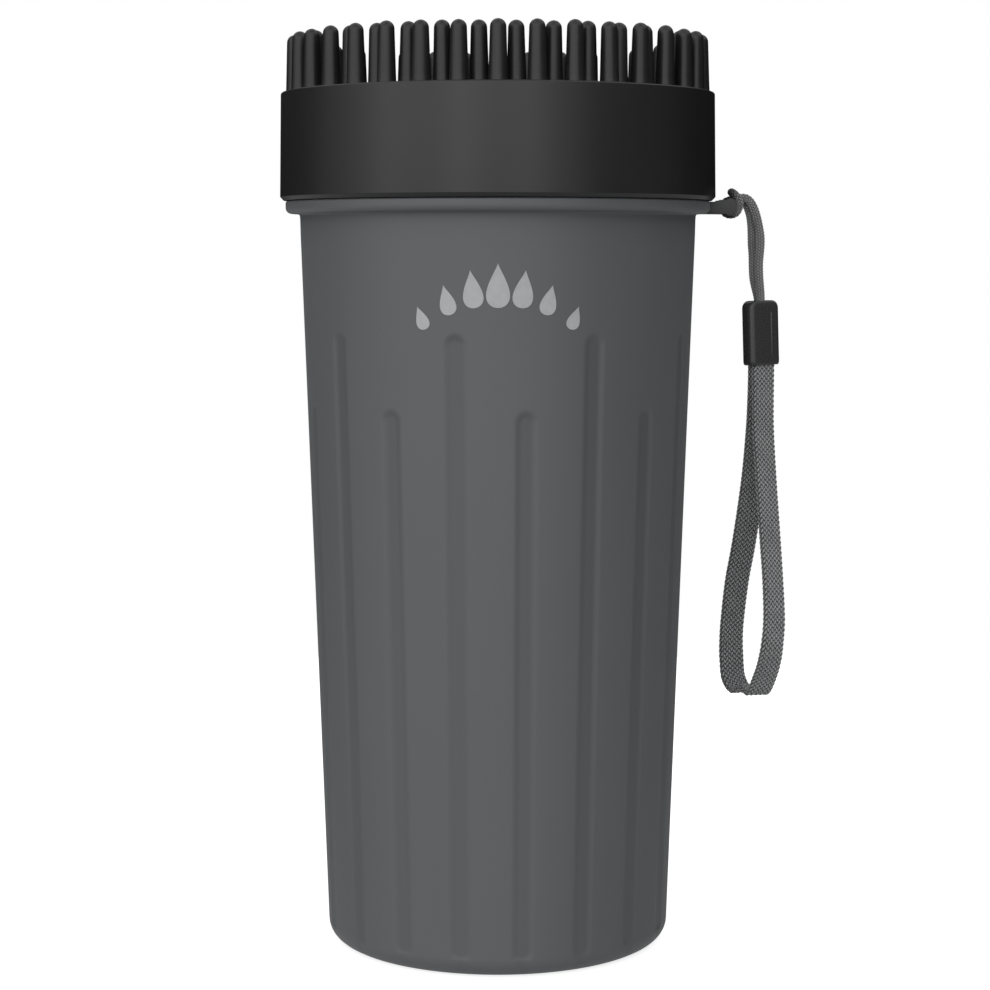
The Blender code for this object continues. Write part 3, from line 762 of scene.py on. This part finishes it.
def make_ferrule(material):
    """The black clamp: a rounded block with a pocket for the cord and one for the band."""
    width, depth, height = FERRULE_SIZE

    def loop(w, d, corners, z):
        """A rounded rectangle whose four corners have their own radii."""
        x, y = w / 2, d / 2
        spots = ((-x, -y, corners[0]), (x, -y, corners[1]),
                 (x, y, corners[0]), (-x, y, corners[1]))
        return [Vector((u, v, z)) for u, v in rounded(spots, steps=8)]

    def rim(pocket, fillets, side):
        """Rows from a pocket's floor, out over the end and round its outer edge.

        fillets are the outer edge's roundings along the width, the depth and the height.
        """
        z_end = side * height / 2
        rows = [loop(*pocket, (0.7 * MM, 0.7 * MM), z_end - side * 4.4 * MM),
                loop(*pocket, (0.7 * MM, 0.7 * MM), z_end - side * 0.4 * MM)]
        for step in range(5):
            angle = math.pi / 2 * step / 4
            grow = 0.2 * MM * (1 - math.cos(angle))
            rows.append(loop(pocket[0] + grow, pocket[1] + grow, (0.75 * MM, 0.75 * MM),
                             z_end - side * 0.2 * MM * (1 - math.sin(angle))))
        for step in range(13):
            angle = math.pi / 2 * (1 - step / 12)
            inset = 1 - math.cos(angle)
            rows.append(loop(width - 2 * fillets[0] * inset, depth - 2 * fillets[1] * inset,
                             (FERRULE_CORNERS[0] - 0.35 * MM * inset,
                              FERRULE_CORNERS[1] - 0.55 * MM * inset),
                             z_end - side * fillets[2] * (1 - math.sin(angle))))
        return rows

    shape = Shape()
    lower = rim((6.15 * MM, 3.3 * MM), (0.5 * MM, 0.3 * MM, 0.9 * MM), -1)
    upper = rim((3.4 * MM, 3.0 * MM), (1.75 * MM, 0.4 * MM, 1.8 * MM), 1)
    shape.rows(lower + upper[::-1])
    rib = Vector((width / 2 - 2.45 * MM, -depth / 2 + 0.17 * MM, -6.0 * MM))
    shape.peg(rib, (0, 0, 1), FERRULE_RIB, 24)
    turn = (Matrix.Translation(FERRULE_CENTRE) @ Matrix.Rotation(FERRULE_TILT, 4, "Y")
            @ Matrix.Rotation(FERRULE_TURN, 4, "Z"))
    shape.points = [turn @ point for point in shape.points]
    ferrule = shape.make("ferrule_shell", material, 50.0)
    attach(ferrule, "strap")
    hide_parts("ferrule")
    return ferrule


# --- cup ------------------------------------------------------------------------------
def wall_radius(z):
    return BASE_RADIUS + TAPER * z


def flute_depth(z, angle):
    """Depth of the nearest flute: a soft scallop with rounded ends, shallower low down."""
    turn = (angle - FLUTE_PHASE) / FLUTE_PITCH
    flute = round(turn)
    aside = abs(turn - flute) * FLUTE_PITCH * wall_radius(z)
    top = (LONG_FLUTE_TOP if flute % 2 == 0 else SHORT_FLUTE_TOP) - FLUTE_HALF_WIDTH
    beyond = max(0.0, z - top, FLUTE_BOTTOM + FLUTE_HALF_WIDTH - z)
    distance = math.hypot(aside, beyond)
    share = min(1.0, distance / FLUTE_HALF_WIDTH)
    slope = max(0.0, (share - FLUTE_FLAT) / (1 - FLUTE_FLAT))
    height = min(1.0, z / SHORT_FLUTE_TOP)
    depth = FLUTE_DEPTH * (FLUTE_AT_FOOT + (1 - FLUTE_AT_FOOT) * height)
    return depth * (0.5 + 0.5 * math.cos(math.pi * slope))


def flute_angles():
    """Close angles across each flute and wide ones on the land between."""
    radius = wall_radius(LONG_FLUTE_TOP / 2)
    across = [offset * 0.3 * MM for offset in range(-10, 11)]
    land = [share * FLUTE_PITCH for share in (0.27, 0.35, 0.42, 0.5, 0.58, 0.65, 0.73)]
    angles = []
    for flute in range(FLUTES):
        centre = FLUTE_PHASE + flute * FLUTE_PITCH
        angles.extend(centre + offset / radius for offset in across)
        angles.extend(centre + offset for offset in land)
    return angles


def wall_heights():
    """Rows of the wall, close together where flutes end."""
    close_step, wide_step = 0.4 * MM, 3.0 * MM
    heights = [BASE_FILLET + 0.01 * MM]
    z = BASE_FILLET + close_step
    while z < FLANGE_BOTTOM - 2.0 * MM:
        heights.append(z)
        close = z < 9 * MM or any(abs(z - top + MM) < 4 * MM
                                  for top in (SHORT_FLUTE_TOP, LONG_FLUTE_TOP))
        z += close_step if close else wide_step
    return heights


def make_cup(material):
    """The hollow cup: foot, fluted wall, flange, threaded neck and inside."""
    gate = CUP_BOTTOM + 0.6 * MM
    recess = CUP_BOTTOM + FOOT_RECESS
    profile = [(1.1 * MM, gate), (1.5 * MM, recess), (FOOT_RING - MM, recess),
               (FOOT_RING, CUP_BOTTOM)]
    fillet_centre = wall_radius(BASE_FILLET) - BASE_FILLET
    for step in range(9):
        angle = math.pi / 2 * step / 8
        profile.append((fillet_centre + BASE_FILLET * math.sin(angle),
                        BASE_FILLET * (1 - math.cos(angle))))
    profile += [(wall_radius(z), z) for z in wall_heights()]
    inner_top = wall_radius(FLANGE_BOTTOM) - WALL
    inner_bottom = wall_radius(FLOOR + INNER_FILLET) - WALL
    shoulder = wall_radius(FLANGE_BOTTOM)
    profile += rounded([
        (shoulder - 0.1 * MM, FLANGE_BOTTOM - 1.5 * MM, 0),
        (shoulder, FLANGE_BOTTOM, 0.7 * MM),
        (FLANGE_RADIUS, FLANGE_BOTTOM, 1.3 * MM), (FLANGE_RADIUS, FLANGE_TOP, 0.5 * MM),
        (NECK_RADIUS, FLANGE_TOP, 0.3 * MM), (NECK_RADIUS, NECK_TOP, 0.5 * MM),
        (inner_top, NECK_TOP, 0.5 * MM), (inner_top, FLANGE_BOTTOM, 0),
        (inner_bottom, FLOOR, INNER_FILLET), (1.0 * MM, FLOOR, 0),
    ], closed=False)

    def fluted(radius, z, angle):
        outside = radius > wall_radius(z) - 0.02 * MM and z < FLANGE_BOTTOM - 1.6 * MM
        fillet = z < BASE_FILLET and radius > fillet_centre
        if not (outside or fillet):
            return radius
        fade = min(1.0, max(0.0, (radius - fillet_centre) / BASE_FILLET))
        return radius - flute_depth(max(z, BASE_FILLET * fade), angle) * fade

    shape = Shape()
    shape.turned(profile, flute_angles(), fluted, closed=False)
    shape.ridge(NECK_RADIUS, 1, THREAD_START)
    cup = shape.make("cup_shell", material, 50.0)
    # the groove attribute, the flute's depth share, masks the painted shade in the flutes
    groove = cup.data.attributes.new("groove", "FLOAT", "POINT")
    for index, vert in enumerate(cup.data.vertices):
        x, y, z = vert.co
        outside = math.hypot(x, y) > wall_radius(z) - 2 * FLUTE_DEPTH
        if outside and z < FLANGE_BOTTOM - 2 * MM:
            depth = flute_depth(max(z, BASE_FILLET), math.atan2(x, -y))
            groove.data[index].value = depth / FLUTE_DEPTH
    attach(cup, "cup")
    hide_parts("cup_body")


def lug_block():
    """The lug's outline, seen from the side, drawn out over its width."""
    root = FLANGE_RADIUS - 2.4 * MM
    under_collar = FLANGE_TOP - 0.1 * MM
    outline = [(root, LUG_BOTTOM)]
    for step in range(21):
        angle = math.radians(-125 + 250 * step / 20)
        outline.append((EAR.x + EAR_RADII[0] * math.cos(angle),
                        EAR.z + EAR_RADII[1] * math.sin(angle)))
    outline += [(COLLAR_RADIUS + 0.7 * MM, PLATE_TOP),
                (COLLAR_RADIUS + 0.3 * MM, under_collar), (root, under_collar)]
    shape = bmesh.new()
    near = [shape.verts.new((x, -LUG_HALF_WIDTH, z)) for x, z in outline]
    far = [shape.verts.new((x, LUG_HALF_WIDTH, z)) for x, z in outline]
    shape.faces.new(near)
    shape.faces.new(far[::-1])
    for step in range(len(outline)):
        after = (step + 1) % len(outline)
        shape.faces.new((near[step], far[step], far[after], near[after]))
    bmesh.ops.recalc_face_normals(shape, faces=shape.faces)
    return new_object("lanyard_lug", mesh_from("lanyard_lug", shape))


def slot_cutter():
    reach = BAR.x + 4 * MM
    middle = ((SLOT_START + reach) / 2, 0, BAR.z)
    size = (reach - SLOT_START, 2 * SLOT_HALF_WIDTH, 8 * MM, 1)
    shape = bmesh.new()
    bmesh.ops.create_cube(shape, size=1,
                          matrix=Matrix.Translation(middle) @ Matrix.Diagonal(size))
    return new_object("slot_cutter", mesh_from("slot_cutter", shape))


def make_lug(material):
    """Two rounded ears on the flange, with a round crossbar between them."""
    lug = lug_block()
    cut = slot_cutter()
    carve = lug.modifiers.new("slot", "BOOLEAN")
    carve.operation = "DIFFERENCE"
    carve.solver = "EXACT"
    carve.object = cut
    soften = lug.modifiers.new("soften", "BEVEL")
    soften.width = 0.45 * MM
    soften.segments = 4
    soften.limit_method = "ANGLE"
    soften.angle_limit = math.radians(40)
    carved = lug.evaluated_get(bpy.context.evaluated_depsgraph_get())
    solid = bpy.data.meshes.new_from_object(carved)
    lug.modifiers.clear()
    bpy.data.objects.remove(cut, do_unlink=True)

    bar = Shape()
    half = SLOT_HALF_WIDTH + 0.7 * MM
    bar.peg(BAR - Vector((0, half, 0)), (0, 1, 0),
            ((0, BAR_RADIUS), (2 * half, BAR_RADIUS)), 32)
    turn_outwards(solid, new_mesh("crossbar", bar.points, bar.faces))
    solid.materials.clear()
    finish_mesh(solid, material, 40.0)
    lug.data = solid
    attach(lug, "cup")


def drop_outline(height):
    """A water drop: a round bottom that narrows to a point at the top."""
    half_width = DROP_WIDTH * height * 0.5
    points = []
    for angle in even_angles(40):
        pinch = math.sin(angle / 2) ** DROP_POINT
        points.append((half_width * math.sin(angle) * pinch * DROP_FULLER,
                       0.5 * height * math.cos(angle)))
    return points


def make_print(material):
    """An arched row of plain water drops, printed on the front of the cup."""
    def front(x, z):
        """The Y of the printed surface."""
        reach = wall_radius(z) + PRINT_LIFT
        return -math.sqrt(reach * reach - x * x)

    shape = bmesh.new()
    for index, size in enumerate(DROP_HEIGHTS):
        share = index / (len(DROP_HEIGHTS) - 1) * 2 - 1
        centre_x = share * DROP_SPREAD / 2
        centre_z = DROP_TOP_Z - DROP_SAG * share * share
        lean = -share * 0.35
        bottom = []
        for along, up in drop_outline(size * MM):
            x = centre_x + along * math.cos(lean) - up * math.sin(lean)
            z = centre_z + along * math.sin(lean) + up * math.cos(lean)
            bottom.append(shape.verts.new((x, front(x, z), z)))
        face = shape.faces.new(bottom)
        bmesh.ops.inset_region(shape, faces=[face], thickness=0.05 * MM)
    many_sided = [face for face in shape.faces if len(face.verts) > 4]
    bmesh.ops.triangulate(shape, faces=many_sided)
    bmesh.ops.subdivide_edges(shape, edges=shape.edges[:], cuts=1, use_grid_fill=True)
    for vert in shape.verts:
        vert.co.y = front(vert.co.x, vert.co.z)
    grown = bmesh.ops.extrude_face_region(shape, geom=shape.faces[:])
    for vert in [item for item in grown["geom"] if isinstance(item, bmesh.types.BMVert)]:
        away = Vector((vert.co.x, vert.co.y, 0)).normalized()
        vert.co += away * PRINT_THICKNESS
    bmesh.ops.recalc_face_normals(shape, faces=shape.faces)
    mesh = mesh_from("drop_print", shape)
    finish_mesh(mesh, material, 30.0)
    drops = new_object("drop_print", mesh)
    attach(drops, "cup")


# --- collar, seal, ring, sleeve -------------------------------------------------------
def make_collar(material):
    """The screwed ring: an inside thread, and a ledge that carries the ring of pins."""
    top_radius = COLLAR_RADIUS - 0.35 * MM
    recess, ledge, ledge_low = 48.9 * MM, 40.6 * MM, 189.6 * MM
    ledge_top = RING_BOTTOM - 0.3 * MM
    shape = ring_shape([
        (COLLAR_RADIUS - 0.8 * MM, COLLAR_BOTTOM, 0.12 * MM),
        (COLLAR_RADIUS, COLLAR_BOTTOM + 0.85 * MM, 0.2 * MM),
        (top_radius, COLLAR_TOP, 0.84 * MM), (recess, COLLAR_TOP, 0.12 * MM),
        (recess, ledge_top, 0.2 * MM), (ledge, ledge_top, 0.4 * MM),
        (ledge, ledge_low, 0.4 * MM), (SKIRT_RADIUS, ledge_low, 0.6 * MM),
        (SKIRT_RADIUS, COLLAR_BOTTOM, 0.5 * MM),
    ], 288, steps=6)
    shape.ridge(SKIRT_RADIUS, -1, THREAD_START - LEAD / 2)
    collar = shape.make("collar_shell", material, 50.0)
    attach(collar, "collar")
    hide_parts("collar")


def make_seal(material):
    inner = SEAL_OUTER - 3.0 * MM
    shape = ring_shape([
        (inner, SEAL_BOTTOM, 0.3 * MM), (SEAL_OUTER, SEAL_BOTTOM, 0.5 * MM),
        (SEAL_OUTER, SEAL_TOP, 0.5 * MM), (inner, SEAL_TOP, 0.3 * MM),
    ], 192)
    seal = shape.make("seal_gasket", material)
    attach(seal, "seal")
    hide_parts("seal_ring")


def make_massage_ring(material):
    """The seat ring with its two staggered circles of pins."""
    bore, rabbet = 39.6 * MM, 41.7 * MM
    shape = ring_shape([
        (bore, RING_BOTTOM, 0.3 * MM), (RING_OUTER, RING_BOTTOM, 0.3 * MM),
        (RING_OUTER, RING_TOP, 0.25 * MM), (rabbet, RING_TOP, 0.3 * MM),
        (rabbet, RABBET_Z, 0.1 * MM), (bore, RABBET_Z, 0.3 * MM),
    ], 210)
    chance = random.Random(11)
    for radius, offset in PIN_CIRCLES:
        for pin in range(PIN_COUNT):
            angle = 2 * math.pi * (pin + offset) / PIN_COUNT
            start = Vector((radius * math.sin(angle), -radius * math.cos(angle),
                            RING_TOP - 0.6 * MM))
            length = PIN_TOP - start.z - chance.uniform(0.0, PIN_SHORTER) * MM
            lean = Vector((chance.uniform(-PIN_LEAN, PIN_LEAN),
                           chance.uniform(-PIN_LEAN, PIN_LEAN), 1))
            stations = finger(PIN_FOOT, length - PIN_TIP_RADIUS,
                              (PIN_BASE_RADIUS, PIN_TIP_RADIUS), 5, 6, 6.4)
            shape.peg(start, lean, stations, 24)
    ring = shape.make("massage_ring_pins", material, 60.0)
    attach(ring, "massage_ring")
    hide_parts("massage_ring")


def make_sleeve(material):
    """The tube that hangs in the ring by its flange."""
    flange_z = RABBET_Z + 0.3 * MM
    shape = ring_shape([
        (SLEEVE_INNER, SLEEVE_BOTTOM, 0.4 * MM), (SLEEVE_OUTER, SLEEVE_BOTTOM, 0.5 * MM),
        (SLEEVE_OUTER, flange_z, 0.3 * MM), (SLEEVE_FLANGE, flange_z, 0.3 * MM),
        (SLEEVE_FLANGE, SLEEVE_TOP, 0.4 * MM), (SLEEVE_INNER, SLEEVE_TOP, 0.9 * MM),
    ], 192)
    sleeve = shape.make("paw_sleeve_tube", material, 60.0)
    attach(sleeve, "paw_sleeve")
    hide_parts("paw_sleeve")


def make_lining(material):
    """The skin inside the sleeve, with soft bristles that lean a little."""
    outer = SLEEVE_INNER - 0.02 * MM
    shape = ring_shape([
        (LINING_INNER, LINING_BOTTOM, 0.4 * MM), (outer, LINING_BOTTOM, 0.1 * MM),
        (outer, LINING_TOP, 0.1 * MM), (LINING_INNER, LINING_TOP, 0.9 * MM),
    ], 192)
    chance = random.Random(5)
    root = LINING_INNER + 0.5 * MM
    length = root - BRISTLE_TIP_AT
    stations = finger(BRISTLE_FOOT, length - BRISTLE_RADII[1], BRISTLE_RADII, 4, 4, 4.3)
    for row in range(BRISTLE_ROWS):
        for column in range(BRISTLE_COLUMNS):
            angle = 2 * math.pi * (column + 0.5 * (row % 2)) / BRISTLE_COLUMNS
            outwards = Vector((math.sin(angle), -math.cos(angle), 0))
            start = outwards * root
            start.z = BRISTLE_FIRST_Z + row * BRISTLE_ROW_STEP
            sideways = Vector((-outwards.y, outwards.x, 0)) * chance.uniform(-0.03, 0.03)
            axis = -outwards + sideways + Vector((0, 0, chance.uniform(-0.05, 0.0)))
            shape.peg(start, axis, stations, 16)
    lining = shape.make("bristle_lining_comb", material, 60.0)
    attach(lining, "paw_sleeve")
    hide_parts("bristle_lining")


# --- studio ---------------------------------------------------------------------------
def make_floor():
    """A pale disc, bright enough to melt into the white behind it."""
    m = Nodes("studio_floor", 0.6)
    haze = m.noise(9.0, 2.0)
    m.set(Base_Color=m.mix(m.span(haze, 0.0, 1.0), (0.78, 0.78, 0.78), (0.80, 0.80, 0.80)),
          Emission_Strength=FLOOR_GLOW, Emission_Color=(1, 1, 1))
    bpy.ops.mesh.primitive_circle_add(vertices=128, radius=FLOOR_RADIUS, fill_type="NGON",
                                      location=(0, 0, -FLOOR_GAP))
    floor = bpy.context.object
    floor.name = "studio_floor"
    floor.data.materials.append(m.material)
    floor.visible_diffuse = False
    floor.visible_glossy = False


def make_world():
    """A dark studio lit by PANELS: softboxes in front, mostly to the left, and overhead.

    The camera itself sees plain white behind the object.
    """
    world = bpy.data.worlds.new("studio")
    bpy.context.scene.world = world
    world.use_nodes = True
    world.node_tree.nodes.clear()
    t = Tree(world.node_tree)

    def ramp(value, start, end):
        """Smoothly 0 to 1 from start to end degrees."""
        node = t.add("ShaderNodeMapRange", interpolation_type="SMOOTHSTEP")
        node.inputs["From Min"].default_value = math.radians(start)
        node.inputs["From Max"].default_value = math.radians(end)
        t.join(value, node.inputs["Value"])
        return node.outputs["Result"]

    def panel(left, right, low, high, strength):
        """A soft-edged bright panel; each edge is (where it starts, where it is full)."""
        across = t.math("MULTIPLY", ramp(azimuth, *left), ramp(azimuth, *right))
        upright = t.math("MULTIPLY", ramp(elevation, *low), ramp(elevation, *high))
        return t.math("MULTIPLY", t.math("MULTIPLY", across, upright), strength)

    split = t.add("ShaderNodeSeparateXYZ")
    t.join(t.add("ShaderNodeTexCoord").outputs["Generated"], split.inputs[0])
    toward = t.math("MULTIPLY", split.outputs["Y"], -1.0)
    azimuth = t.math("ARCTAN2", split.outputs["X"], toward)
    elevation = t.math("ARCSINE", split.outputs["Z"])
    glow = 0.0
    for edges in PANELS:
        glow = t.math("ADD", glow, panel(*edges))

    around = t.add("ShaderNodeBackground")
    seen = t.add("ShaderNodeBackground")
    for background, strength in ((around, glow), (seen, 1.0)):
        t.feed(background.inputs["Color"], (1, 1, 1))
        t.feed(background.inputs["Strength"], strength)
    mix = t.add("ShaderNodeMixShader")
    t.join(t.add("ShaderNodeLightPath").outputs["Is Camera Ray"], mix.inputs[0])
    t.join(around.outputs[0], mix.inputs[1])
    t.join(seen.outputs[0], mix.inputs[2])
    t.join(mix.outputs[0], t.add("ShaderNodeOutputWorld").inputs["Surface"])


def main():
    make_camera()
    cup_plastic = moulded_plastic(
        "cup_plastic_grain", (0.1135, 0.119, 0.125), (0.1215, 0.127, 0.133),
        roughness=0.46, grain=4e-6, scuff_colour=(0.19, 0.195, 0.20), scuffs=0.15,
        sheen=0.09)
    collar_plastic = moulded_plastic(
        "collar_plastic_satin", (0.0165, 0.0165, 0.0175), (0.021, 0.021, 0.022),
        roughness=0.33, grain=5e-6, scuff_colour=(0.06, 0.06, 0.06), scuffs=0.3)
    ferrule_plastic = moulded_plastic(
        "ferrule_plastic_satin", (0.037, 0.037, 0.0385), (0.040, 0.040, 0.0415),
        roughness=0.28, grain=5e-7, scuff_colour=(0.05, 0.05, 0.05), scuffs=0.2)
    # painted shade: the lug is moulded in the cup's plastic, and this darker copy stands in
    # for its shade
    lug_shaded_plastic = moulded_plastic(
        "lug_shaded_plastic_grain", (0.034, 0.0345, 0.0355), (0.039, 0.0395, 0.0405),
        roughness=0.46, grain=4e-6, scuff_colour=(0.15, 0.15, 0.155), scuffs=0.15)
    pin_silicone = silicone(
        "pin_silicone_soft", (0.012, 0.012, 0.0125), (0.016, 0.016, 0.0165),
        roughness=0.36, dust=(0.05, 0.05, 0.05), dust_share=0.15, sheen=0.0)
    sleeve_silicone = silicone(
        "sleeve_silicone_soft", (0.045, 0.045, 0.047), (0.058, 0.058, 0.060),
        roughness=0.55, dust=(0.16, 0.16, 0.16))
    seal_silicone = silicone(
        "seal_silicone_soft", (0.015, 0.015, 0.015), (0.02, 0.02, 0.02),
        roughness=0.5, dust=(0.08, 0.08, 0.08))
    cord_yarn = yarn("cord_yarn_knit", (0.25, 0.25, 0.255), (0.56, 0.56, 0.57),
                     (0.46, 0.95))
    band_yarn = yarn("band_yarn_braid", (0.26, 0.263, 0.27), (0.60, 0.607, 0.62),
                     (0.52, 0.97))
    print_ink = ink("print_ink_grey", (0.50, 0.505, 0.515))

    ferrule = make_ferrule(ferrule_plastic)
    make_strap(cord_yarn, band_yarn)
    make_cup(cup_plastic)
    make_lug(lug_shaded_plastic)
    make_print(print_ink)
    make_collar(collar_plastic)
    make_seal(seal_silicone)
    make_massage_ring(pin_silicone)
    make_sleeve(sleeve_silicone)
    make_lining(sleeve_silicone)

    make_floor()
    make_world()
    bpy.context.scene.view_settings.view_transform = "Standard"


main()
